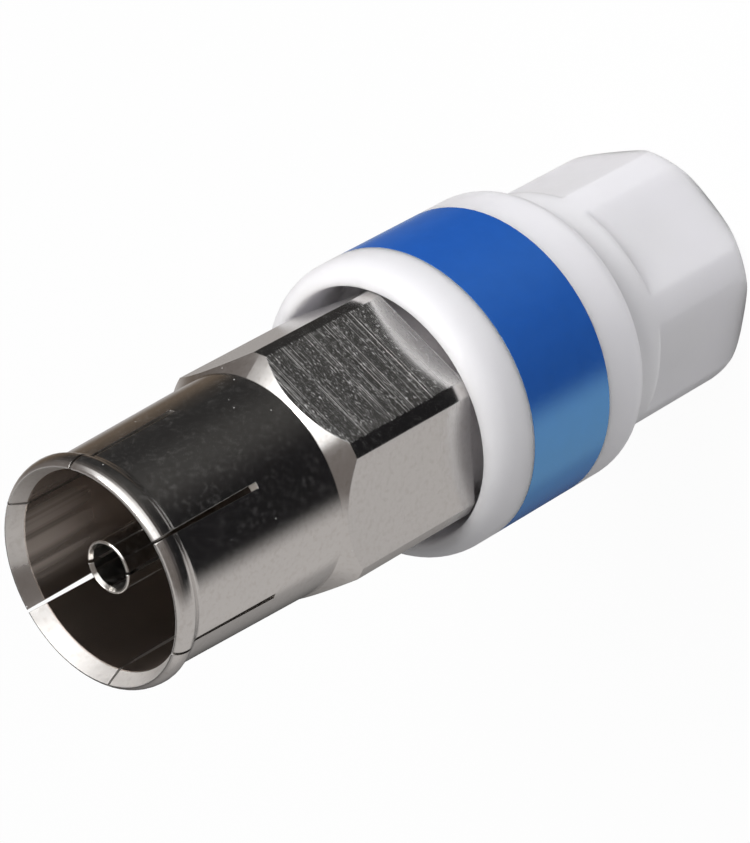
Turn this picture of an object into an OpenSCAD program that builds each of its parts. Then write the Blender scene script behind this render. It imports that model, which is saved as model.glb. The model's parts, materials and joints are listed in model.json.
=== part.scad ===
// Female coaxial cable connector: a slotted spring socket with a spanner hexagon, and a nut that is
// tightened by hand to clamp the cable. It stands on the flat cable end of the nut, so the axis is +Z
// and the socket opens upwards. All sizes are in millimetres.

/* [Spring sleeve] */
// Inner diameter of the sleeve
bore_d = 9.5; // [9.3:0.05:9.7]
// Length of the sleeve, from the hexagon to the rim
sleeve_l = 10.3; // [9:0.1:13]
// Wall of the sleeve beside the hexagon
sleeve_wall = 0.65; // [0.5:0.05:0.7]
// Wall of the sleeve just behind the lip
neck_wall = 0.45; // [0.3:0.05:0.5]
// Wall of the belled lip at its widest
lip_wall = 0.75; // [0.6:0.05:0.95]
// Length of the belled lip
lip_l = 1.5; // [1:0.1:2.5]
// Radial width of the rounded nose outside the rim's inner chamfer
lip_nose = 0.35; // [0.1:0.05:0.4]
// Length of the rim's inner chamfer
rim_lead = 0.8; // [0.4:0.05:1]
// Depth of the open socket, from the rim to the insulator
socket_depth = 9.5; // [8.5:0.1:11]
// Number of spring slots
slot_count = 6; // [4:1:8]
// Width of a spring slot at its closed end
slot_w = 0.28; // [0.2:0.02:0.5]
// Width of a spring slot at the rim, where the fingers are set inwards
slot_rim_w = 0.12; // [0.1:0.02:0.3]
// Length of a spring slot, from the rim
slot_l = 6.3; // [4:0.1:8]
// Turn of the slots from the hexagon's corners, in degrees
slot_turn = 7; // [0:0.5:30]

/* [Hexagon and barrel] */
// Width of the hexagon across its flats
hex_af = 11.1; // [11:0.05:11.4]
// Length of the hexagon
hex_l = 8.5; // [7:0.1:10]
// Radial height that is turned off the hexagon's corners
corner_cut = 0.21; // [0.1:0.01:0.3]
// Length of the front chamfer, from the hexagon's turned corners down to the sleeve
hex_chamfer_l = 0.95; // [0.3:0.05:1.5]
// Wall of the barrel round the cable clamp
barrel_wall = 0.55; // [0.4:0.05:0.8]
// Radial step of the closing cone inside the barrel
cone_step = 0.85; // [0.5:0.05:1]
// Length of the closing cone
cone_l = 0.8; // [0.5:0.1:1.2]
// Thickness of the web between the two insulators
web_l = 1; // [0.6:0.1:1.5]
// Diameter of the hole through the web
web_bore_d = 4.4; // [3.5:0.1:5.5]

/* [Centre contact] */
// Diameter of the hole for the plug's centre pin, before the pin spreads the fingers
pin_bore_d = 2.1; // [1.9:0.05:2.45]
// Wall of the contact tube
contact_wall = 0.22; // [0.2:0.01:0.35]
// Width of the lead-in at the mouth of the contact tube
lead_in = 0.1; // [0.05:0.01:0.15]
// Distance of the contact's tip behind the rim
contact_recess = 1.1; // [0.5:0.1:2]
// Length of the saw cuts between the contact's spring fingers
finger_l = 4.5; // [3:0.1:6]
// Width of the saw cuts
finger_gap = 0.15; // [0.1:0.05:0.3]
// Number of spring fingers on the contact tube
finger_count = 2; // [2:1:4]
// Turn of the contact's saw cuts from the hexagon's corners, in degrees
finger_turn = 95; // [0:1:180]
// Diameter of the shank behind the contact tube
shank_d = 1.9; // [1.7:0.1:2.2]
// Diameter of the cable's inner conductor
conductor_d = 1.02; // [0.8:0.02:1.2]
// Depth of the hole that takes the inner conductor
conductor_depth = 4; // [2.5:0.1:5]

/* [Insulators] */
// Thickness of the front insulator
front_insulator_l = 3; // [2:0.1:4]
// Length of the rear insulator
rear_insulator_l = 5.5; // [4.5:0.1:6.5]
// Length of the guide cone in the rear insulator
guide_l = 1.8; // [1:0.1:2.5]
// Widest diameter of the guide cone
guide_d = 4.4; // [3.5:0.1:5]

/* [Cable clamp] */
// Outer diameter of the cable
cable_d = 7; // [6.4:0.1:7.4]
// Diameter of the cable's dielectric
dielectric_d = 4.7; // [4.4:0.1:4.9]
// Wall of the cable post
post_wall = 0.35; // [0.25:0.05:0.4]
// Height of the barb on the end of the cable post
barb_h = 0.15; // [0.1:0.05:0.2]
// Length of the barb
barb_l = 1.2; // [0.8:0.1:1.6]
// Length of the cable post behind its flange
post_l = 11.2; // [9:0.1:12]
// Thickness of the post's flange
flange_l = 1.8; // [1.2:0.1:2.2]
// Wall of the clamp sleeve
clamp_wall = 0.95; // [0.6:0.05:1]
// Length of the clamp sleeve
clamp_l = 7; // [6:0.1:8]
// Length of the taper on the clamp sleeve's front
clamp_taper_l = 1.4; // [0.8:0.1:2]
// Radial height of that taper
clamp_taper_h = 0.35; // [0.2:0.05:0.4]
// Number of slots in the clamp sleeve
clamp_slots = 6; // [4:1:8]
// Width of a slot in the clamp sleeve
clamp_slot_w = 0.7; // [0.4:0.1:1]
// Length of a slot in the clamp sleeve
clamp_slot_l = 5; // [3:0.1:5.5]
// Number of gripping ridges inside the clamp sleeve
ridge_count = 4; // [2:1:5]
// Height of a gripping ridge
ridge_h = 0.2; // [0.1:0.05:0.25]
// Pitch of the gripping ridges
ridge_pitch = 0.8; // [0.6:0.05:0.9]
// Length of the clamp sleeve that is inside the barrel at rest
clamp_entry = 1; // [0.6:0.1:1.5]
// Thickness of the thrust ring
ring_l = 1.4; // [1:0.1:2]
// Chamfer on the thrust ring
ring_chamfer = 0.2; // [0.1:0.05:0.3]

/* [Nut] */
// Length of the round collar
collar_l = 10.9; // [10:0.1:13]
// Length of the round neck between the collar and the grip
neck_l = 2.1; // [1:0.1:3]
// Length of the six-sided grip
grip_l = 7; // [6.5:0.1:9]
// Wall of the collar at its open mouth
mouth_wall = 1.05; // [0.6:0.05:1.2]
// Radial distance from the mouth's bore to the crest of the collar's rounded lip
lip_crest = 0.2; // [0.1:0.05:0.5]
// Length of the rounding outside that crest
mouth_round = 1.3; // [0.3:0.05:1.5]
// Length of the rounding inside that crest
mouth_lead = 0.5; // [0.2:0.05:1]
// Wall of the neck round the thread
neck_wall_nut = 0.85; // [0.7:0.05:1.2]
// Depth of the grip's flats below the neck
flat_depth = 0.52; // [0.2:0.02:0.7]
// Turn of the grip's corners from the metal hexagon's, in degrees
grip_turn = -11; // [-30:0.5:30]
// Slope of the step at the front of a flat, in degrees from the axis
flat_step_angle = 70; // [20:1:80]
// Radius of the grip's end edge
end_round = 0.75; // [0.3:0.05:1.6]
// Thickness of the nut's end wall
end_wall = 3.4; // [2.5:0.1:4]
// Length of the hexagon inside the nut's mouth when the nut is fully open
hex_entry = 0.3; // [0:0.1:1]
// Travel of the nut from fully open to tight
nut_travel = 3; // [2:0.1:3.5]

/* [Colour band] */
// Width of the band
band_w = 5.35; // [3:0.05:7]
// Distance of the band behind the nut's front
band_offset = 2.5; // [1.5:0.1:3.5]
// Thickness of the band
band_t = 0.15; // [0.1:0.05:0.3]

/* [Clearances] */
// Radial gap at a pressed seat
seat_clear = 0.03; // [0.02:0.01:0.05]
// Radial play of the nut's thread
thread_play = 0.1; // [0.05:0.01:0.15]
// Radial gap between the hexagon's corners and the nut's mouth
mouth_clear = 0.1; // [0.05:0.05:0.4]
// Radial gap round the clamp sleeve
clamp_play = 0.3; // [0.2:0.05:0.5]
// Radial gap between the cable and the hole in the nut
cable_play = 0.4; // [0.3:0.05:0.6]
// Radial gap between the cable and the open clamp sleeve
jacket_play = 0.05; // [0.05:0.05:0.15]
// Axial gap between the pieces that slide together
end_play = 0.1; // [0.05:0.05:0.2]
// Axial room left at the end of the nut's travel
end_room = 0.5; // [0.3:0.1:1]

/* [Hidden] */
$fn = 96;
// Overshoot of a cutting shape past the face it cuts
over = 0.5;
// Steps in a quarter round and in the lip's flare
arc_steps = 8;
hex_sides = 6;

// Radii, from the cable outwards
cable_hole_r = cable_d / 2 + cable_play;
clamp_bore_r = cable_d / 2 + jacket_play;
clamp_r = clamp_bore_r + clamp_wall;
counterbore_r = clamp_r + clamp_play;
barrel_bore_r = counterbore_r - cone_step;
barrel_r = counterbore_r + barrel_wall;
thread_bore_r = barrel_r + thread_play;
nut_neck_r = thread_bore_r + neck_wall_nut;
flat_r = nut_neck_r - flat_depth;
post_bore_r = dielectric_d / 2 + seat_clear;
post_r = post_bore_r + post_wall;

// Radii of the socket and the hexagon
bore_r = bore_d / 2;
sleeve_r = bore_r + sleeve_wall;
neck_r = bore_r + neck_wall;
lip_r = bore_r + lip_wall;
rim_r = lip_r - lip_nose;
hex_flat_r = hex_af / 2;
hex_point_r = hex_flat_r / cos(180 / hex_sides);
hex_turned_r = hex_point_r - corner_cut;
mouth_r = hex_turned_r + mouth_clear;
crest_r = mouth_r + lip_crest;
collar_r = mouth_r + mouth_wall;
band_seat_r = collar_r - band_t;
contact_bore_r = pin_bore_d / 2;
contact_r = contact_bore_r + contact_wall;
shank_r = shank_d / 2;
conductor_r = conductor_d / 2 + seat_clear;

// Heights of the nut and of what slides with it
neck_z = grip_l;
collar_z = neck_z + neck_l;
nut_l = collar_z + collar_l;
ring_z = end_wall + end_play;
clamp_z = ring_z + ring_l + end_play;
clamp_top_z = clamp_z + clamp_l;
mouth_z = nut_l - hex_entry - nut_travel - end_room;
band_z = nut_l - band_offset - band_w;

// Heights of the metal front
barrel_z = clamp_top_z - clamp_entry;
thread_z = barrel_z - nut_travel - end_room;
cone_z = clamp_top_z + nut_travel + end_room;
hex_z = nut_l - hex_entry;
sleeve_z = hex_z + hex_l;
rim_z = sleeve_z + sleeve_l;
socket_z = rim_z - socket_depth;
front_seat_z = socket_z - front_insulator_l;
rear_seat_z = front_seat_z - web_l;
rear_insulator_z = rear_seat_z - rear_insulator_l;
flange_z = rear_insulator_z - flange_l;
post_z = flange_z - post_l;
contact_tip_z = rim_z - contact_recess;
shank_z = rear_insulator_z + guide_l;

// Points of an arc about centre c, from angle a to angle b
function arc(c, r, a, b) = [for (i = [0 : arc_steps]) let (t = a + (b - a) * i / arc_steps)
    c + r * [cos(t), sin(t)]];

// Points of a smooth flare from point p to point q, level with the axis at both ends
function flare(p, q) = [for (i = [0 : arc_steps]) let (u = i / arc_steps)
    [p.x + (q.x - p.x) * (1 - cos(180 * u)) / 2, p.y + (q.y - p.y) * u]];

// Points of an ellipse about centre c with half axes h, from just past angle a to angle b
function oval(c, h, a, b) = [for (i = [1 : arc_steps]) let (t = a + (b - a) * i / arc_steps)
    c + [h.x * cos(t), h.y * sin(t)]];

// Round bar from height z0 to z1
module bar(r, z0, z1) {
    translate([0, 0, z0]) cylinder(h = z1 - z0, r = r);
}

// Round cone from radius r0 at height z0 to radius r1 at z1
module cone(r0, r1, z0, z1) {
    translate([0, 0, z0]) cylinder(h = z1 - z0, r1 = r0, r2 = r1);
}

// Saw cuts through the wall between radii r0 and r1, from height z0 to z1
module saw_cuts(count, w, r0, r1, z0, z1) {
    for (i = [0 : count - 1])
        rotate(i * 360 / count) translate([r0 - over, -w / 2, z0]) cube([r1 - r0 + 2 * over, w, z1 - z0]);
}

// One spring slot as a wedge that narrows towards the rim
module spring_slot() {
    translate([bore_r - over, 0, 0]) rotate([90, 0, 90]) linear_extrude(height = lip_r - bore_r + 2 * over)
        polygon([[-slot_w / 2, rim_z - slot_l], [slot_w / 2, rim_z - slot_l],
                 [slot_rim_w / 2, rim_z + over], [-slot_rim_w / 2, rim_z + over]]);
}

// Spring sleeve with its belled lip, as a solid bar
module sleeve_bar() {
    rotate_extrude() polygon(concat(
        [[0, sleeve_z - over], [sleeve_r, sleeve_z - over], [sleeve_r, sleeve_z]],
        flare([neck_r, rim_z - lip_l], [lip_r, rim_z - lip_l / 2]),
        oval([rim_r, rim_z - lip_l / 2], [lip_nose, lip_l / 2], 0, 90),
        [[0, rim_z]]));
}

// Spanner hexagon with its corners turned and its front chamfered
module spanner_hexagon() {
    intersection() {
        translate([0, 0, hex_z]) cylinder(h = hex_l, r = hex_point_r, $fn = hex_sides);
        rotate_extrude() polygon([[0, hex_z], [hex_turned_r, hex_z],
            [hex_turned_r, sleeve_z - hex_chamfer_l], [sleeve_r, sleeve_z], [0, sleeve_z]]);
    }
}

// Everything that is bored out of the metal front, from the cable end to the chamfered rim
module body_bores() {
    web_bore_r = web_bore_d / 2;
    rim_slope = (rim_r - bore_r) / rim_lead;
    rotate_extrude() polygon([
        [0, barrel_z - over], [counterbore_r, barrel_z - over], [counterbore_r, cone_z],
        [barrel_bore_r, cone_z + cone_l], [barrel_bore_r, rear_seat_z], [web_bore_r, rear_seat_z],
        [web_bore_r, front_seat_z], [bore_r, front_seat_z], [bore_r, rim_z - rim_lead],
        [rim_r + over * rim_slope, rim_z + over], [0, rim_z + over]]);
}

module outer_body() {
    color("silver") difference() {
        union() {
            sleeve_bar();
            spanner_hexagon();
            bar(barrel_r, barrel_z, hex_z + over);
        }
        body_bores();
        for (i = [0 : slot_count - 1])
            rotate(slot_turn + i * 360 / slot_count) spring_slot();
    }
}

module centre_contact() {
    tip_round = contact_wall - lead_in;
    color("gainsboro") difference() {
        union() {
            rotate_extrude() polygon(concat(
                [[0, socket_z], [contact_r, socket_z]],
                arc([contact_r - tip_round, contact_tip_z - tip_round], tip_round, 0, 90),
                [[0, contact_tip_z]]));
            bar(shank_r, shank_z, socket_z + over);
        }
        rotate_extrude() polygon([
            [0, socket_z + 2 * over], [contact_bore_r, socket_z + 2 * over],
            [contact_bore_r, contact_tip_z - 2 * lead_in], [contact_bore_r + lead_in, contact_tip_z],
            [contact_bore_r + lead_in, contact_tip_z + over], [0, contact_tip_z + over]]);
        rotate(finger_turn) saw_cuts(finger_count, finger_gap, contact_bore_r, contact_r,
            contact_tip_z - finger_l, contact_tip_z + over);
        bar(conductor_r, shank_z - over, shank_z + conductor_depth);
        saw_cuts(2, finger_gap, conductor_r, shank_r, shank_z - over, shank_z + conductor_depth / 2);
    }
}

module front_insulator() {
    color([0.2, 0.16, 0.13]) difference() {
        bar(bore_r - seat_clear, front_seat_z, socket_z);
        bar(shank_r + seat_clear, front_seat_z - over, socket_z + over);
    }
}

module rear_insulator() {
    color([0.2, 0.16, 0.13]) difference() {
        bar(barrel_bore_r - seat_clear, rear_insulator_z, rear_seat_z);
        bar(shank_r + seat_clear, shank_z, rear_seat_z + over);
        cone(guide_d / 2, conductor_r, rear_insulator_z, shank_z);
    }
}

module cable_post() {
    color("silver") difference() {
        union() {
            bar(barrel_bore_r - seat_clear, flange_z, rear_insulator_z);
            bar(post_r, post_z, flange_z + over);
            cone(post_r, post_r + barb_h, post_z, post_z + barb_l);
        }
        bar(post_bore_r, post_z - over, rear_insulator_z + over);
    }
}

// Collet with a tapered front, slots between its fingers and saw-tooth ridges that grip the jacket
module clamp_sleeve() {
    taper_z = clamp_top_z - clamp_taper_l;
    ridges = [for (i = [0 : ridge_count - 1], r = [clamp_bore_r, clamp_bore_r + ridge_h])
        [r, taper_z - i * ridge_pitch]];
    color("whitesmoke") difference() {
        rotate_extrude() polygon(concat(
            [[clamp_bore_r, clamp_z], [clamp_r, clamp_z], [clamp_r, taper_z],
             [clamp_r - clamp_taper_h, clamp_top_z], [clamp_bore_r, clamp_top_z]],
            ridges,
            [[clamp_bore_r, taper_z - ridge_count * ridge_pitch]]));
        rotate(180 / clamp_slots) saw_cuts(clamp_slots, clamp_slot_w, clamp_bore_r, clamp_r,
            clamp_top_z - clamp_slot_l, clamp_top_z + over);
    }
}

module thrust_ring() {
    color("goldenrod") rotate_extrude() polygon([
        [clamp_bore_r, ring_z], [clamp_r - ring_chamfer, ring_z], [clamp_r, ring_z + ring_chamfer],
        [clamp_r, ring_z + ring_l - ring_chamfer], [clamp_r - ring_chamfer, ring_z + ring_l],
        [clamp_bore_r, ring_z + ring_l]]);
}

// The nut before its flats and inner bores are cut: grip, neck, shoulder, collar, rounded lip and mouth
module nut_bar() {
    shoulder = collar_r - nut_neck_r;
    rotate_extrude() polygon(concat(
        [[0, 0]],
        arc([nut_neck_r - end_round, end_round], end_round, -90, 0),
        [[nut_neck_r, collar_z]],
        arc([nut_neck_r, collar_z + shoulder], shoulder, -90, 0),
        [[collar_r, nut_l - mouth_round]],
        oval([crest_r, nut_l - mouth_round], [collar_r - crest_r, mouth_round], 0, 90),
        oval([crest_r, nut_l - mouth_lead], [lip_crest, mouth_lead], 90, 180),
        [[mouth_r, mouth_z], [0, mouth_z]]));
}

// One flat of the grip, as the block that is cut away, with a sloping step at its front
module flat_cut() {
    step_l = (collar_r - flat_r) / tan(flat_step_angle);
    translate([flat_r, collar_r, 0]) rotate([90, 0, 0]) linear_extrude(height = 2 * collar_r)
        polygon([[0, -over], [collar_r - flat_r, -over], [collar_r - flat_r, neck_z + step_l], [0, neck_z]]);
}

module tightening_nut() {
    color("white") difference() {
        nut_bar();
        for (i = [0 : hex_sides - 1])
            rotate(grip_turn + (i + 0.5) * 360 / hex_sides) flat_cut();
        bar(cable_hole_r, -over, end_wall + over);
        bar(counterbore_r, end_wall, thread_z + over);
        bar(thread_bore_r, thread_z, mouth_z + over);
        difference() {
            bar(collar_r + over, band_z, band_z + band_w);
            bar(band_seat_r, band_z - over, band_z + band_w + over);
        }
    }
}

module colour_band() {
    color("royalblue") difference() {
        bar(collar_r, band_z + seat_clear, band_z + band_w - seat_clear);
        bar(band_seat_r + seat_clear, band_z - over, band_z + band_w + over);
    }
}

outer_body();
centre_contact();
front_insulator();
rear_insulator();
cable_post();
clamp_sleeve();
thrust_ring();
tightening_nut();
colour_band();
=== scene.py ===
"""Studio scene of a coaxial cable connector with a plated socket and a moulded nut.

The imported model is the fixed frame. Each operator finishes one piece or one group of like pieces, and the
stage operator adds the floor, the light, the surroundings that the metal mirrors, and the camera.
"""

import json
import math

import bpy
from bpy.props import FloatProperty, FloatVectorProperty, PointerProperty
from mathutils import Matrix, Vector


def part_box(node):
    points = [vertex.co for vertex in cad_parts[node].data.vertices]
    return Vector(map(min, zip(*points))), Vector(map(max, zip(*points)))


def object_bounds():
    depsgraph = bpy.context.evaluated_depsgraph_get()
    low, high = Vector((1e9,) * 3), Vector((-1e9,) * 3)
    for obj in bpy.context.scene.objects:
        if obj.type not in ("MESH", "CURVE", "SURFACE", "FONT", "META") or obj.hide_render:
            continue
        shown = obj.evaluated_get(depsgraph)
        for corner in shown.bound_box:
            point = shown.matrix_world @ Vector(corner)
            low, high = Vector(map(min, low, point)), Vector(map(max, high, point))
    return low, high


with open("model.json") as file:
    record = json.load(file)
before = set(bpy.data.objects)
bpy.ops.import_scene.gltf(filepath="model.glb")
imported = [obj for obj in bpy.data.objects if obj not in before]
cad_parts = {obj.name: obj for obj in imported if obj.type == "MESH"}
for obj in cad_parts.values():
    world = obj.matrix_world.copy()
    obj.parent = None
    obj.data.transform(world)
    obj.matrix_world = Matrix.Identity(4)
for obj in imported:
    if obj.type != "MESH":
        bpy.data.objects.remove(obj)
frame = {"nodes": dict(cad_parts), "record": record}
CAD_BOX = [[float(value) for value in corner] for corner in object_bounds()]

bl_info = {
    "name": "Coaxial connector",
    "version": (1, 0, 0),
    "blender": (4, 5, 0),
    "location": "3D View > Sidebar > Connector",
    "description": "Finishes a coaxial cable connector and sets it on a studio stage",
    "category": "Object",
}

MM = 0.001
WHITE = (1.0, 1.0, 1.0)
BLACK = (0.0, 0.0, 0.0)


def mount(name):
    """The record's mount of that name."""
    return next(entry for entry in frame["record"]["mounts"] if entry["name"] == name)


# Height of the hexagon's rear face: its mount is halfway along it
HEXAGON = mount("spanner_hexagon")
HEXAGON_LOW = HEXAGON["pos_m"][2] - HEXAGON["dims"]["length_mm"] * MM / 2
# Half the width across the hexagon's flats, which are the outer body's widest faces along Y
HEXAGON_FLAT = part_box("outer_body")[1].y
# Radius of the open socket, taken from its mount
BORE_RADIUS = mount("sleeve_socket")["dims"]["r_mm"] * MM
# Height of the socket's rim, which is the connector's top
RIM_HEIGHT = CAD_BOX[1][2]
# Radial width and length of the rim's inner chamfer, and length of the belled lip
RIM_WIDTH = 0.4 * MM
RIM_LENGTH = 0.8 * MM
LIP_LENGTH = 1.5 * MM
# Distance between a mask's limit and the surface that it is set by
EDGE_GAP = 0.01 * MM

# Bearings between which the tones of the surroundings change, in degrees from +X towards +Y
PLEAT_RISES = (-50, -5)
PLEAT_FALLS = (0, 40)
BACK_WALL_FALLS = (112, 126)
BACK_WALL_RISES = (132, 184)
SIDE_WALL_RISES = (-182, -162)
WINDOW_OPENS = (-58, -48)
WINDOW_ENDS = (12, 50)
# Heights between which they change, in degrees above the horizon
CURTAIN_TOP = (52, 68)
CURTAIN_UPPER = (-26, 12)
WINDOW_SILL = (-2, 8)
WINDOW_HEAD = (52, 66)
# Where the curtain's edges and its hem fade, in degrees from the bearings of its start and its end
CURTAIN_START_FADE = (-24, 3)
CURTAIN_END_FADE = (0, 30)
HEM_FADE = (-35, 0)
# Share of the pleat's colour that is left towards the curtain's end
PLEAT_DARK = 0.4
# Shares of the wall's colour: left past the curtain's end, come back farther round, left at the other side
BACK_WALL_DARK = 0.12
BACK_WALL_RETURN = 0.48
SIDE_WALL_DARK = 0.58


def colour_property(name, description, default):
    """A colour that a user may change."""
    return FloatVectorProperty(
        name=name, description=description, default=default, size=3, min=0.0, max=1.0, subtype="COLOR"
    )


def length_property(name, description, millimetres):
    """A length that a user may change, given in millimetres and kept in metres."""
    return FloatProperty(
        name=name, description=description, default=millimetres * MM, min=0.0, unit="LENGTH", precision=5
    )


def angle_property(name, description, degrees):
    """An angle that a user may change, given in degrees and kept in radians."""
    return FloatProperty(
        name=name, description=description, default=math.radians(degrees), subtype="ANGLE", unit="ROTATION"
    )


def share_property(name, description, default):
    """A number from 0 to 1 that a user may change."""
    return FloatProperty(
        name=name, description=description, default=default, min=0.0, max=1.0, subtype="FACTOR"
    )


class PlateSettings(bpy.types.PropertyGroup):
    """The bright plating on the socket, its contact and its cable post."""

    colour: colour_property("Plate colour", "Colour of the plating", (0.66, 0.64, 0.62))
    stain: colour_property("Plate stain", "Colour of the plating where it has dulled", (0.61, 0.585, 0.56))
    bore: colour_property("Bore colour", "Colour of the plating inside the socket", (0.52, 0.455, 0.41))
    scored: colour_property("Scored colour", "Colour of the deeply scored flats", (0.56, 0.55, 0.54))
    cut: colour_property("Cut colour", "Colour of the spring slots' sawn walls", (0.44, 0.42, 0.40))
    contact: colour_property("Contact colour", "Colour of the spring contact", (0.70, 0.68, 0.65))
    dust: colour_property("Dust colour", "Colour of the dust on the turned surfaces", (0.75, 0.74, 0.72))
    polish: share_property("Polish", "Roughness of the turned surfaces", 0.15)
    milled: share_property("Milled roughness", "Roughness of the hexagon's flats", 0.19)
    bored: share_property("Bored roughness", "Roughness inside the socket", 0.27)
    sawn: share_property("Sawn roughness", "Roughness of the spring slots' sawn walls", 0.45)
    rim: share_property("Rim roughness", "Roughness of the rim's worn inner chamfer", 0.54)
    rim_matt: share_property("Rim mattness", "How matt the rim's worn inner chamfer is", 0.30)
    tool_pitch: length_property("Tool mark pitch", "Spacing of the turning marks", 0.09)
    tool_depth: length_property("Tool mark depth", "Depth of the turning marks", 0.0004)
    score_width: length_property("Score width", "Width of the milling scores across the flats", 0.055)
    score_length: length_property("Score length", "Length over which a milling score fades", 1.6)
    score_matt: share_property("Score mattness", "How matt the milling scores are", 0.95)
    rub_matt: share_property("Rub mattness", "How matt the marks are that plugs rub in the socket", 0.8)
    edge: length_property("Edge break", "Radius of the broken edges", 0.06)


class PlasticSettings(bpy.types.PropertyGroup):
    """The moulded nut, its band and the hidden mouldings."""

    nut: colour_property("Nut colour", "Colour of the moulded nut", (0.80, 0.79, 0.82))
    nut_glow: share_property("Nut translucency", "Share of light that spreads inside the nut", 1.0)
    nut_depth: length_property("Nut light depth", "How far light spreads inside the nut", 1.8)
    nut_gloss: share_property("Nut roughness", "Roughness of the moulded nut", 0.36)
    inner_gloss: share_property("Inner roughness", "Roughness of the insulators and the clamp sleeve", 0.5)
    grain: length_property("Mould grain", "Size of the grain left by the mould", 0.16)
    grain_depth: length_property("Grain depth", "Depth of the grain left by the mould", 0.0015)
    band: colour_property("Band colour", "Colour of the foil band", (0.017, 0.125, 0.60))
    band_sheen: colour_property("Band sheen", "Colour of the foil band's reflections", (0.37, 0.82, 1.0))
    band_gloss: share_property("Band roughness", "Roughness of the foil band", 0.18)
    band_index: FloatProperty(
        name="Band index", description="Refractive index of the foil band", default=3.7, min=1.0
    )
    insulator: colour_property("Insulator colour", "Colour of the insulating discs", (0.045, 0.035, 0.028))
    clamp: colour_property("Clamp colour", "Colour of the clamp sleeve", (0.72, 0.72, 0.70))
    brass: colour_property("Brass colour", "Colour of the thrust ring", (0.72, 0.52, 0.24))
    edge: length_property("Moulded edge", "Radius of the moulded edges", 0.4)


class StageSettings(bpy.types.PropertyGroup):
    """The camera, the soft light and the surroundings."""

    azimuth: angle_property("Camera azimuth", "Bearing that it looks along, from +Y towards +X", -37.45)
    elevation: angle_property("Camera elevation", "Height of the camera above the horizon", 40.12)
    roll: angle_property("Camera roll", "Turn of the camera about its own axis", 119.25)
    aim: FloatVectorProperty(
        name="Camera aim",
        description="Point in the middle of the picture",
        default=(2.34 * MM, -3.28 * MM, 23.58 * MM),
        subtype="TRANSLATION",
        unit="LENGTH",
    )
    distance: length_property("Camera distance", "Distance from the camera to its aim", 200.0)
    lens: FloatProperty(
        name="Lens", description="Focal length of the camera", default=192.17, min=1.0, unit="CAMERA"
    )
    nearest: length_property("Camera near limit", "Distance at which the camera starts to see", 10.0)
    farthest: length_property("Camera far limit", "Distance at which the camera stops seeing", 10000.0)
    key_azimuth: angle_property("Key azimuth", "Bearing of the soft light, from +X towards +Y", 1.0)
    key_elevation: angle_property("Key elevation", "Height of the soft light above the horizon", 48.0)
    key_distance: length_property("Key distance", "Distance of the soft light from the connector", 300.0)
    key_width: length_property("Key width", "Width of the soft light", 230.0)
    key_height: length_property("Key height", "Height of the soft light", 120.0)
    key_radiance: FloatProperty(
        name="Key radiance", description="Brightness of the soft light's face", default=11.5, min=0.0
    )
    ambient: share_property("Ambient", "Light that comes evenly from all round", 0.25)
    wall: colour_property("Wall colour", "Pale walls that the metal mirrors", (0.60, 0.58, 0.57))
    curtain: colour_property("Curtain colour", "Dark curtain that the metal mirrors", (0.014, 0.014, 0.015))
    pleat: colour_property("Pleat colour", "Paler middle of the curtain", (0.070, 0.069, 0.067))
    upper: colour_property("Upper colour", "Paler upper part of the curtain", (0.20, 0.18, 0.17))
    hem: colour_property("Hem colour", "Warm tone at the curtain's end", (0.16, 0.125, 0.095))
    window: colour_property("Window colour", "Bright window above the curtain", WHITE)
    window_radiance: FloatProperty(
        name="Window radiance", description="Brightness of the mirrored window", default=1.6, min=0.0
    )
    curtain_from: angle_property("Curtain start", "Bearing at which the curtain starts", -98.5)
    curtain_to: angle_property("Curtain end", "Bearing at which the curtain ends", 92.0)
    floor: colour_property("Floor colour", "Colour of the floor", (0.80, 0.80, 0.80))
    floor_size: length_property("Floor size", "Width of the floor", 3000.0)
    floor_matt: share_property("Floor roughness", "Roughness of the floor", 0.9)
    floor_glow: share_property("Floor whiteness", "Share of plain white that the camera sees in it", 0.965)


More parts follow.
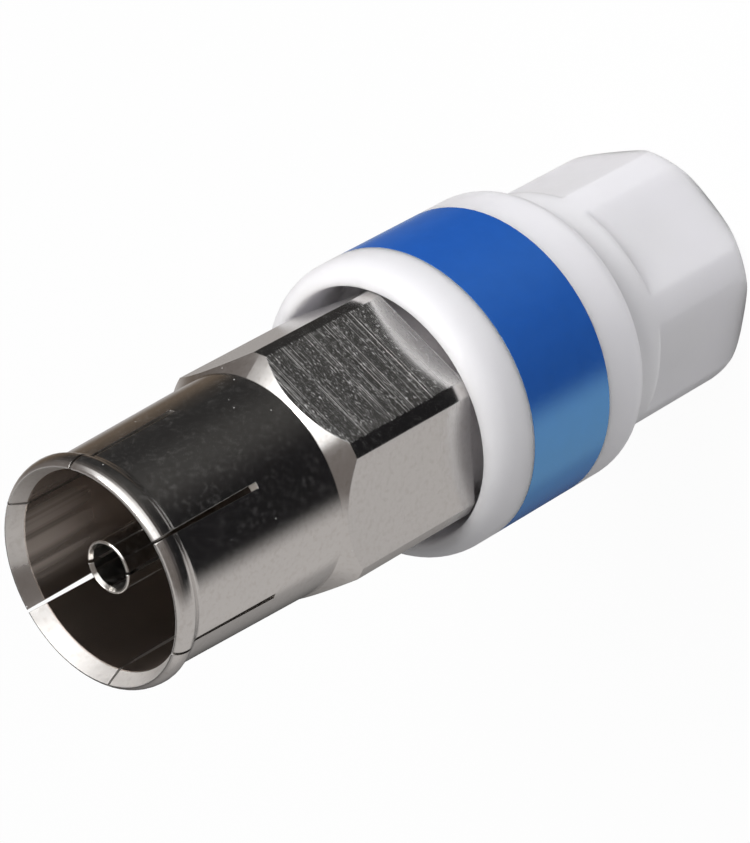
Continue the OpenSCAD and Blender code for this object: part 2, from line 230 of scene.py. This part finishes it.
class Finish:
    """A procedural material in the making, with patterns on the piece's own coordinates in metres."""

    def __init__(self, name):
        self.material = bpy.data.materials.new(name)
        self.material.use_nodes = True
        self.tree = self.material.node_tree
        self.shader = self.tree.nodes["Principled BSDF"]
        self.place = self.add("ShaderNodeTexCoord").outputs["Object"]

    def add(self, kind, **settings):
        """A new node with these settings."""
        node = self.tree.nodes.new(kind)
        for name, value in settings.items():
            setattr(node, name, value)
        return node

    def feed(self, socket, value):
        """Sets a socket to a number or a colour, or links it to another node's output."""
        if isinstance(value, bpy.types.NodeSocket):
            self.tree.links.new(value, socket)
        elif hasattr(value, "__len__") and len(value) == 3 and socket.type == "RGBA":
            socket.default_value = (*value, 1.0)
        else:
            socket.default_value = value

    def set(self, socket_name, value):
        """Feeds a socket of the shader."""
        self.feed(self.shader.inputs[socket_name], value)

    def math(self, operation, first, second=0.0):
        """The result of an operation on one number or two."""
        node = self.add("ShaderNodeMath", operation=operation)
        self.feed(node.inputs[0], first)
        self.feed(node.inputs[1], second)
        return node.outputs[0]

    def product(self, first, *others):
        """All these numbers multiplied."""
        for other in others:
            first = self.math("MULTIPLY", first, other)
        return first

    def largest(self, first, *others):
        """The largest of these numbers."""
        for other in others:
            first = self.math("MAXIMUM", first, other)
        return first

    def rest(self, share):
        """What is left of 1 after this share."""
        return self.math("SUBTRACT", 1.0, share)

    def axis(self, letter):
        """One coordinate of the place."""
        node = self.add("ShaderNodeSeparateXYZ")
        self.feed(node.inputs[0], self.place)
        return node.outputs[letter]

    def angle(self):
        """Bearing about the connector's axis, from +X towards +Y."""
        return self.math("ARCTAN2", self.axis("Y"), self.axis("X"))

    def radius(self):
        """Distance from the connector's axis."""
        across = self.product(self.axis("X"), self.axis("X"))
        along = self.product(self.axis("Y"), self.axis("Y"))
        return self.math("SQRT", self.math("ADD", across, along))

    def across_flats(self):
        """Distance from the connector's axis, measured squarely to the nearest of the hexagon's flats."""
        sector = self.math("FLOORED_MODULO", self.angle(), math.pi / 3)
        from_middle = self.math("SUBTRACT", sector, math.pi / 6)
        return self.product(self.radius(), self.math("COSINE", from_middle))

    def facing(self):
        """How squarely the surface faces the connector's axis or away from it, from 0 to 1."""
        spoke = self.add("ShaderNodeVectorMath", operation="MULTIPLY")
        self.feed(spoke.inputs[0], self.place)
        spoke.inputs[1].default_value = (1.0, 1.0, 0.0)
        unit = self.add("ShaderNodeVectorMath", operation="NORMALIZE")
        self.feed(unit.inputs[0], spoke.outputs["Vector"])
        share = self.add("ShaderNodeVectorMath", operation="DOT_PRODUCT")
        self.feed(share.inputs[0], unit.outputs["Vector"])
        self.feed(share.inputs[1], self.add("ShaderNodeNewGeometry").outputs["True Normal"])
        return self.math("ABSOLUTE", share.outputs["Value"])

    def step(self, value, low, high, to_low=0.0, to_high=1.0):
        """A smooth change from one number to another as a value goes from low to high."""
        node = self.add("ShaderNodeMapRange", interpolation_type="SMOOTHSTEP")
        node.inputs["From Min"].default_value = low
        node.inputs["From Max"].default_value = high
        node.inputs["To Min"].default_value = to_low
        node.inputs["To Max"].default_value = to_high
        self.feed(node.inputs["Value"], value)
        return node.outputs["Result"]

    def angle_step(self, angle, low, high, to_low=0.0, to_high=1.0):
        """The same smooth change as an angle goes from low to high, given in degrees."""
        return self.step(angle, math.radians(low), math.radians(high), to_low, to_high)

    def noise(self, size, detail=2.0, along=None):
        """Noise about 0.5 with features of this size, over the surface or along one coordinate only."""
        node = self.add("ShaderNodeTexNoise", noise_dimensions="1D" if along else "3D")
        node.inputs["Scale"].default_value = 1.0 / size
        node.inputs["Detail"].default_value = detail
        if along:
            self.feed(node.inputs["W"], along)
        else:
            self.feed(node.inputs["Vector"], self.place)
        return node.outputs["Fac"]

    def streaks(self, across, along, detail):
        """Noise with features of one size across the connector's axis and another along it."""
        stretched = self.add("ShaderNodeVectorMath", operation="MULTIPLY")
        self.feed(stretched.inputs[0], self.place)
        stretched.inputs[1].default_value = (1.0 / across, 1.0 / across, 1.0 / along)
        node = self.add("ShaderNodeTexNoise")
        node.inputs["Scale"].default_value = 1.0
        node.inputs["Detail"].default_value = detail
        self.feed(node.inputs["Vector"], stretched.outputs["Vector"])
        return node.outputs["Fac"]

    def blend(self, share, first, second):
        """A colour between two colours."""
        node = self.add("ShaderNodeMix", data_type="RGBA")
        self.feed(node.inputs["Factor"], share)
        self.feed(node.inputs["A"], first)
        self.feed(node.inputs["B"], second)
        return node.outputs["Result"]

    def soft_edges(self, radius):
        """Normals that round off sharp edges."""
        node = self.add("ShaderNodeBevel", samples=4)
        node.inputs["Radius"].default_value = radius
        return node.outputs["Normal"]

    def relief(self, height, depth, normal=None, strength=1.0):
        """Normals of a surface with this height pattern."""
        node = self.add("ShaderNodeBump")
        node.inputs["Distance"].default_value = depth
        self.feed(node.inputs["Strength"], strength)
        self.feed(node.inputs["Height"], height)
        if normal:
            self.feed(node.inputs["Normal"], normal)
        return node.outputs["Normal"]


class Surroundings(Finish):
    """The world's nodes, with the same helpers as a material's."""

    def __init__(self, world):
        self.tree = world.node_tree
        self.shader = self.tree.nodes["Background"]
        self.place = self.add("ShaderNodeTexCoord").outputs["Generated"]

    def elevation(self):
        """Height above the horizon of the direction looked in."""
        return self.math("ARCSINE", self.axis("Z"))


def dress(material, *nodes):
    """Gives CAD nodes a material in place of their plain one."""
    for name in nodes:
        for material_slot in frame["nodes"][name].material_slots:
            material_slot.material = material


def scaled(colour, brightness):
    """A colour with its brightness changed by this factor."""
    return tuple(value * brightness for value in colour)


def hexagon_flats(finish, height):
    """A mask of the hexagon's flats."""
    flat_fade = 0.02 * MM
    rear_fade = 0.1 * MM
    flat = HEXAGON_FLAT - EDGE_GAP
    on_flat = finish.step(finish.across_flats(), flat - flat_fade, flat)
    before_rear = finish.step(height, HEXAGON_LOW - rear_fade, HEXAGON_LOW)
    return finish.product(on_flat, before_rear)


def outside_bore(finish, radius):
    """A mask of all that lies farther out than the socket's bore."""
    fade = 0.03 * MM
    edge = BORE_RADIUS + EDGE_GAP
    return finish.step(radius, edge, edge + fade)


def socket_wall(finish, radius):
    """A mask of the socket's inner wall."""
    near = 0.95 * BORE_RADIUS
    far = 0.9 * BORE_RADIUS
    near_wall = finish.step(radius, far, near)
    return finish.product(near_wall, finish.rest(outside_bore(finish, radius)))


def worn_rim(finish, radius, height):
    """A mask of the rim's inner chamfer, which plugs have worn but for one short stretch."""
    bright_bearing = math.radians(117)
    bright_fade = (6, 18)
    nose_fade = 0.04 * MM
    rear_fade = 0.1 * MM
    patch_size = 0.25 * MM
    patch_levels = (0.35, 0.65)
    least_wear = 0.75
    nose = BORE_RADIUS + RIM_WIDTH
    inside_nose = finish.step(radius, nose, nose + nose_fade, 1.0, 0.0)
    rear = RIM_HEIGHT - RIM_LENGTH - rear_fade
    at_rim = finish.step(height, rear - rear_fade, rear)
    from_bright = finish.math("ABSOLUTE", finish.math("SUBTRACT", finish.angle(), bright_bearing))
    dulled = finish.angle_step(from_bright, *bright_fade)
    uneven = finish.step(finish.noise(patch_size, 4.0), *patch_levels, least_wear, 1.0)
    return finish.product(outside_bore(finish, radius), inside_nose, at_rim, dulled, uneven)


def slot_walls(finish, height, lathed):
    """A mask of the slots' walls and other faces behind the lip that aren't turned to or from the axis."""
    fade = 0.5 * MM
    lip = RIM_HEIGHT - LIP_LENGTH
    behind_lip = finish.step(height, lip - fade, lip, 1.0, 0.0)
    return finish.product(finish.rest(lathed), behind_lip)


def rub_marks(finish, height):
    """A mask of the marks that plugs leave on one side of the socket's wall, drawn out along the axis."""
    side_starts = (40, 84)
    side_ends = (102, 121)
    band_width = 0.22
    band_levels = (0.36, 0.60)
    faintest = 0.35
    deepest = 7 * MM
    angle = finish.angle()
    starts = finish.angle_step(angle, *side_starts)
    ends = finish.angle_step(angle, *side_ends, 1.0, 0.0)
    bands = finish.step(finish.noise(band_width, 3.0, along=angle), *band_levels, faintest, 1.0)
    depth = finish.step(height, RIM_HEIGHT - deepest, RIM_HEIGHT - LIP_LENGTH)
    return finish.product(starts, ends, bands, depth)


def deep_passes(finish):
    """How deeply each of the hexagon's flats is scored: every other flat more than those between."""
    shallowest = 0.2
    change = (-0.5, 0.5)
    waves = 3.0
    phase = finish.math("ADD", finish.product(finish.angle(), waves), math.pi / 2)
    return finish.step(finish.math("COSINE", phase), *change, shallowest, 1.0)


def milling_scores(finish, settings, height):
    """A mask of the lines that the milling cutter scored across the flats, in groups that fade out."""
    line_levels = (0.55, 0.69)
    group_size = 0.8 * MM
    group_levels = (0.42, 0.62)
    between_groups = 0.12
    fade_levels = (0.35, 0.62)
    faintest = 0.4
    lines = finish.step(finish.noise(settings.score_width, 1.0, along=height), *line_levels)
    groups = finish.step(finish.noise(group_size, 1.0, along=height), *group_levels, between_groups, 1.0)
    fades = finish.step(finish.noise(settings.score_length), *fade_levels, faintest, 1.0)
    return finish.product(lines, groups, fades)


def milling_grain(finish):
    """A mask of the short flecks among the milling scores, in loose clusters."""
    fleck_length = 0.19 * MM
    fleck_width = 0.06 * MM
    fleck_levels = (0.50, 0.76)
    strongest = 0.80
    cluster_size = 0.6 * MM
    cluster_levels = (0.35, 0.65)
    between_clusters = 0.5
    flecks = finish.step(finish.streaks(fleck_length, fleck_width, 4.0), *fleck_levels, 0.0, strongest)
    clusters = finish.step(finish.noise(cluster_size), *cluster_levels, between_clusters, 1.0)
    return finish.product(flecks, clusters)


def uneven_haze(finish):
    """A faint fine-grained mattness, in patches."""
    grain_size = 0.26 * MM
    grain_levels = (0.46, 0.76)
    strongest = 0.055
    patch_size = 1.3 * MM
    patch_levels = (0.40, 0.65)
    between_patches = 0.3
    grain = finish.step(finish.noise(grain_size, 8.0), *grain_levels, 0.0, strongest)
    patches = finish.step(finish.noise(patch_size), *patch_levels, between_patches, 1.0)
    return finish.product(grain, patches)


def dust_specks(finish):
    """A mask of fine dust: one speck in some of the cells of a scattered pattern."""
    spacing = 0.55 * MM
    # Outer and inner radius of a speck's soft edge, as shares of the spacing
    size = 0.07
    core = size * 0.6
    empty_cells = 0.62
    cells = finish.add("ShaderNodeTexVoronoi")
    cells.inputs["Scale"].default_value = 1.0 / spacing
    finish.feed(cells.inputs["Vector"], finish.place)
    spot = finish.step(cells.outputs["Distance"], core, size, 1.0, 0.0)
    chosen = finish.math("GREATER_THAN", cells.outputs["Color"], empty_cells)
    return finish.product(spot, chosen)


def bright_plate(name, settings, colour):
    """Bright plating with tool marks, a duller bore, a worn rim, sawn slots and dust."""
    lathed_facing = (0.2, 0.5)
    stain_size = 0.25 * MM
    stain_levels = (0.46, 0.72)
    score_share = 0.72
    score_height = 1.5
    mottle_size = 0.12 * MM
    mottle = 0.08
    finish = Finish(name)
    height = finish.axis("Z")
    radius = finish.radius()
    flats = hexagon_flats(finish, height)
    bore = socket_wall(finish, radius)
    rim = worn_rim(finish, radius, height)
    lathed = finish.step(finish.facing(), *lathed_facing)
    slots = slot_walls(finish, height, lathed)
    turned = finish.rest(finish.largest(bore, flats))
    dust = finish.product(dust_specks(finish), turned)
    deep = finish.product(flats, deep_passes(finish))
    scores = finish.product(milling_scores(finish, settings, height), deep)
    grain = finish.product(milling_grain(finish), deep)
    scored = finish.math("ADD", finish.product(scores, score_share), grain)

    stained = finish.step(finish.noise(stain_size, 5.0), *stain_levels)
    plate = finish.blend(stained, colour, settings.stain)
    plate = finish.blend(bore, plate, settings.bore)
    plate = finish.blend(deep, plate, settings.scored)
    plate = finish.blend(slots, plate, settings.cut)
    finish.set("Base Color", finish.blend(dust, plate, settings.dust))

    matt = finish.largest(
        dust,
        finish.product(scored, settings.score_matt),
        finish.product(rub_marks(finish, height), bore, settings.rub_matt),
        finish.product(uneven_haze(finish), turned),
        finish.product(rim, settings.rim_matt),
    )
    finish.set("Metallic", finish.rest(matt))

    even = finish.step(flats, 0.0, 1.0, settings.polish - mottle / 2, settings.milled - mottle / 2)
    uneven = finish.product(finish.noise(mottle_size, 3.0), mottle)
    rough = finish.largest(
        finish.math("ADD", even, uneven),
        finish.product(bore, settings.bored),
        finish.product(rim, settings.rim),
        finish.product(slots, settings.sawn),
    )
    finish.set("Roughness", rough)

    turning = finish.noise(settings.tool_pitch, 3.0, along=height)
    marks = finish.math("ADD", turning, finish.product(scores, score_height))
    broken = finish.soft_edges(settings.edge)
    finish.set("Normal", finish.relief(marks, settings.tool_depth, broken, lathed))
    return finish.material


def moulded_plastic(name, colour, roughness, settings):
    """Moulded plastic: slightly uneven in tone, with the fine grain of its mould."""
    tone_size = 2.2 * MM
    darkest = 0.965
    gloss_size = 0.7 * MM
    gloss_levels = (0.3, 0.7)
    smoothest = roughness - 0.05
    roughest = roughness + 0.06
    finish = Finish(name)
    tone = finish.noise(tone_size, 3.0)
    finish.set("Base Color", finish.blend(tone, scaled(colour, darkest), colour))
    gloss = finish.noise(gloss_size, 3.0)
    finish.set("Roughness", finish.step(gloss, *gloss_levels, smoothest, roughest))
    grain = finish.noise(settings.grain, 3.0)
    finish.set("Normal", finish.relief(grain, settings.grain_depth, finish.soft_edges(settings.edge)))
    return finish.material


def satin_foil(name, settings):
    """Satin foil: slightly uneven in tone and gloss, and faintly wavy."""
    tone_size = 0.9 * MM
    darkest = 0.86
    gloss_size = 0.16 * MM
    gloss_levels = (0.3, 0.7)
    smoothest = settings.band_gloss - 0.03
    roughest = settings.band_gloss + 0.05
    wave_size = 0.5 * MM
    wave_depth = 0.001 * MM
    finish = Finish(name)
    tone = finish.noise(tone_size, 4.0)
    finish.set("Base Color", finish.blend(tone, scaled(settings.band, darkest), settings.band))
    gloss = finish.noise(gloss_size, 3.0)
    finish.set("Roughness", finish.step(gloss, *gloss_levels, smoothest, roughest))
    finish.set("IOR", settings.band_index)
    finish.set("Specular Tint", settings.band_sheen)
    finish.set("Normal", finish.relief(finish.noise(wave_size), wave_depth))
    return finish.material


class CONNECTOR_OT_plate_socket(bpy.types.Operator):
    """Plate the outer body and the cable post."""

    bl_idname = "connector.plate_socket"
    bl_label = "Plate the socket"

    def execute(self, context):
        settings = context.scene.connector_plate
        dress(bright_plate("bright_plate", settings, settings.colour), "outer_body", "cable_post")
        return {"FINISHED"}


class CONNECTOR_OT_plate_contact(bpy.types.Operator):
    """Plate the spring contact in the middle of the socket."""

    bl_idname = "connector.plate_contact"
    bl_label = "Plate the contact"

    def execute(self, context):
        settings = context.scene.connector_plate
        dress(bright_plate("contact_plate", settings, settings.contact), "centre_contact")
        return {"FINISHED"}


class CONNECTOR_OT_mould_insulators(bpy.types.Operator):
    """Finish the two insulating discs."""

    bl_idname = "connector.mould_insulators"
    bl_label = "Mould the insulators"

    def execute(self, context):
        settings = context.scene.connector_plastic
        gloss = settings.inner_gloss
        material = moulded_plastic("insulator_moulding", settings.insulator, gloss, settings)
        dress(material, "front_insulator", "rear_insulator")
        return {"FINISHED"}


class CONNECTOR_OT_finish_clamp(bpy.types.Operator):
    """Finish the clamp sleeve and the thrust ring inside the nut."""

    bl_idname = "connector.finish_clamp"
    bl_label = "Finish the clamp"

    def execute(self, context):
        plate = context.scene.connector_plate
        plastic = context.scene.connector_plastic
        sleeve = moulded_plastic("clamp_moulding", plastic.clamp, plastic.inner_gloss, plastic)
        dress(sleeve, "clamp_sleeve")
        dress(bright_plate("turned_brass", plate, plastic.brass), "thrust_ring")
        return {"FINISHED"}


class CONNECTOR_OT_mould_nut(bpy.types.Operator):
    """Finish the moulded nut."""

    bl_idname = "connector.mould_nut"
    bl_label = "Mould the nut"

    def execute(self, context):
        settings = context.scene.connector_plastic
        material = moulded_plastic("nut_moulding", settings.nut, settings.nut_gloss, settings)
        shader = material.node_tree.nodes["Principled BSDF"]
        shader.inputs["Subsurface Weight"].default_value = settings.nut_glow
        shader.inputs["Subsurface Radius"].default_value = WHITE
        shader.inputs["Subsurface Scale"].default_value = settings.nut_depth
        dress(material, "tightening_nut")
        return {"FINISHED"}


class CONNECTOR_OT_foil_band(bpy.types.Operator):
    """Finish the foil band round the nut's collar."""

    bl_idname = "connector.foil_band"
    bl_label = "Foil the band"

    def execute(self, context):
        dress(satin_foil("satin_foil", context.scene.connector_plastic), "colour_band")
        return {"FINISHED"}


def bearing(azimuth, elevation):
    """Unit vector with this bearing from +X towards +Y and this height above the horizon."""
    flat = math.cos(elevation)
    return Vector((math.cos(azimuth) * flat, math.sin(azimuth) * flat, math.sin(elevation)))


def add_camera(context, settings):
    """The camera at the photograph's viewing angle, rolled about its own axis."""
    ahead = bearing(math.pi / 2 - settings.azimuth, -settings.elevation)
    level = ahead.cross(Vector((0.0, 0.0, 1.0))).normalized()
    upright = level.cross(ahead)
    up = upright * math.cos(settings.roll) + level * math.sin(settings.roll)
    right = level * math.cos(settings.roll) - upright * math.sin(settings.roll)
    place = Vector(settings.aim) - ahead * settings.distance
    turned = Matrix((right, up, -ahead)).transposed().to_4x4()
    data = bpy.data.cameras.new("camera")
    data.lens = settings.lens
    data.clip_start = settings.nearest
    data.clip_end = settings.farthest
    camera = bpy.data.objects.new("camera", data)
    camera.matrix_world = Matrix.Translation(place) @ turned
    context.scene.collection.objects.link(camera)
    context.scene.camera = camera


def add_key_light(settings):
    """One wide soft light above the socket."""
    aim = Vector((0.0, 0.0, (CAD_BOX[0][2] + CAD_BOX[1][2]) / 2))
    towards = bearing(settings.key_azimuth, settings.key_elevation)
    bpy.ops.object.light_add(type="AREA", location=aim + towards * settings.key_distance)
    light = bpy.context.object
    light.name = "soft_light"
    light.rotation_euler = towards.to_track_quat("Z", "Y").to_euler()
    light.data.shape = "RECTANGLE"
    light.data.size = settings.key_width
    light.data.size_y = settings.key_height
    light.data.energy = settings.key_radiance * math.pi * settings.key_width * settings.key_height


def add_floor(settings):
    """A plain pale floor that looks white to the camera and keeps the connector's shadow."""
    bpy.ops.mesh.primitive_plane_add(size=settings.floor_size, location=(0.0, 0.0, CAD_BOX[0][2]))
    floor = bpy.context.object
    floor.name = "floor"
    floor.visible_glossy = False
    tone_size = 40 * MM
    darkest = 0.99
    finish = Finish("pale_floor")
    tone = finish.noise(tone_size)
    finish.set("Base Color", finish.blend(tone, scaled(settings.floor, darkest), settings.floor))
    finish.set("Roughness", settings.floor_matt)
    finish.set("Specular IOR Level", 0.0)
    path = finish.add("ShaderNodeLightPath")
    glow = finish.add("ShaderNodeEmission")
    finish.feed(glow.inputs["Color"], WHITE)
    seen = finish.add("ShaderNodeMixShader")
    finish.feed(seen.inputs["Fac"], finish.product(path.outputs["Is Camera Ray"], settings.floor_glow))
    finish.feed(seen.inputs[1], finish.shader.outputs["BSDF"])
    finish.feed(seen.inputs[2], glow.outputs["Emission"])
    finish.feed(finish.tree.nodes["Material Output"].inputs["Surface"], seen.outputs["Shader"])
    floor.data.materials.append(finish.material)


def beside(angle, fade):
    """The two ends of a fade that lies beside an angle: the angle is in radians, the fade in degrees."""
    return [math.degrees(angle) + offset for offset in fade]


def curtain_colour(room, settings, azimuth, elevation):
    """The curtain's colour: a paler middle pleat, a warm hem at its end and a paler upper part."""
    rises = room.angle_step(azimuth, *PLEAT_RISES)
    falls = room.angle_step(azimuth, *PLEAT_FALLS, 1.0, PLEAT_DARK)
    hem = room.angle_step(azimuth, *beside(settings.curtain_to, HEM_FADE))
    upper = room.angle_step(elevation, *CURTAIN_UPPER)
    colour = room.blend(room.product(rises, falls), settings.curtain, settings.pleat)
    colour = room.blend(hem, colour, settings.hem)
    return room.blend(upper, colour, settings.upper)


def curtain_mask(room, settings, azimuth, elevation):
    """A mask of the curtain, with soft edges."""
    starts = room.angle_step(azimuth, *beside(settings.curtain_from, CURTAIN_START_FADE))
    ends = room.angle_step(azimuth, *beside(settings.curtain_to, CURTAIN_END_FADE), 1.0, 0.0)
    below_top = room.angle_step(elevation, *CURTAIN_TOP, 1.0, 0.0)
    return room.product(starts, ends, below_top)


def wall_colour(room, settings, azimuth):
    """The walls' colour, darker past the curtain's end and at the other side."""
    falls = room.angle_step(azimuth, *BACK_WALL_FALLS, 1.0, BACK_WALL_DARK)
    rises = room.angle_step(azimuth, *BACK_WALL_RISES, 0.0, BACK_WALL_RETURN)
    side = room.angle_step(azimuth, *SIDE_WALL_RISES, SIDE_WALL_DARK, 1.0)
    return room.blend(room.product(room.math("ADD", falls, rises), side), BLACK, settings.wall)


def window_mask(room, azimuth, elevation):
    """A mask of the window above the curtain."""
    opens = room.angle_step(azimuth, *WINDOW_OPENS)
    ends = room.angle_step(azimuth, *WINDOW_ENDS, 1.0, 0.0)
    above_sill = room.angle_step(elevation, *WINDOW_SILL)
    below_head = room.angle_step(elevation, *WINDOW_HEAD, 1.0, 0.0)
    return room.product(opens, ends, above_sill, below_head)


def add_surroundings(context, settings):
    """A white world for the camera, even light for matt surfaces, and a room for the metal to mirror."""
    world = bpy.data.worlds.new("studio")
    world.use_nodes = True
    world.cycles.sampling_method = "NONE"
    context.scene.world = world
    room = Surroundings(world)
    azimuth = room.angle()
    elevation = room.elevation()
    wall = wall_colour(room, settings, azimuth)
    curtain = curtain_colour(room, settings, azimuth, elevation)
    mirrored = room.blend(curtain_mask(room, settings, azimuth, elevation), wall, curtain)
    glass = scaled(settings.window, settings.window_radiance)
    mirrored = room.blend(window_mask(room, azimuth, elevation), mirrored, glass)
    path = room.add("ShaderNodeLightPath")
    lit = room.blend(path.outputs["Is Glossy Ray"], (settings.ambient,) * 3, mirrored)
    shown = room.largest(path.outputs["Is Camera Ray"], path.outputs["Is Transmission Ray"])
    room.set("Color", room.blend(shown, lit, WHITE))


class CONNECTOR_OT_set_stage(bpy.types.Operator):
    """Set the floor, the soft light, the surroundings and the camera."""

    bl_idname = "connector.set_stage"
    bl_label = "Set the stage"

    def execute(self, context):
        settings = context.scene.connector_stage
        bpy.ops.object.select_all(action="DESELECT")
        add_floor(settings)
        add_key_light(settings)
        add_surroundings(context, settings)
        add_camera(context, settings)
        context.scene.view_settings.view_transform = "Standard"
        return {"FINISHED"}


SETTINGS = {
    "connector_plate": PlateSettings,
    "connector_plastic": PlasticSettings,
    "connector_stage": StageSettings,
}
OPERATORS = (
    CONNECTOR_OT_plate_socket,
    CONNECTOR_OT_plate_contact,
    CONNECTOR_OT_mould_insulators,
    CONNECTOR_OT_finish_clamp,
    CONNECTOR_OT_mould_nut,
    CONNECTOR_OT_foil_band,
    CONNECTOR_OT_set_stage,
)


class CONNECTOR_PT_panel(bpy.types.Panel):
    """Lists the connector's operators and settings."""

    bl_idname = "CONNECTOR_PT_panel"
    bl_label = "Coaxial connector"
    bl_space_type = "VIEW_3D"
    bl_region_type = "UI"
    bl_category = "Connector"

    def draw(self, context):
        for operator in OPERATORS:
            self.layout.operator(operator.bl_idname)
        for group in SETTINGS:
            settings = getattr(context.scene, group)
            box = self.layout.box()
            for name in settings.__annotations__:
                box.prop(settings, name)


CLASSES = (*SETTINGS.values(), *OPERATORS, CONNECTOR_PT_panel)


def register():
    """Registers the classes and puts the settings on the scene."""
    for cls in CLASSES:
        bpy.utils.register_class(cls)
    for name, group in SETTINGS.items():
        setattr(bpy.types.Scene, name, PointerProperty(type=group))


def unregister():
    """Takes the settings and the classes away again."""
    for name in SETTINGS:
        delattr(bpy.types.Scene, name)
    for cls in reversed(CLASSES):
        bpy.utils.unregister_class(cls)


def main():
    """Builds the scene in order."""
    register()
    bpy.ops.connector.plate_socket()
    bpy.ops.connector.plate_contact()
    bpy.ops.connector.mould_insulators()
    bpy.ops.connector.finish_clamp()
    bpy.ops.connector.mould_nut()
    bpy.ops.connector.foil_band()
    bpy.ops.connector.set_stage()


if __name__ == "__main__":
    main()
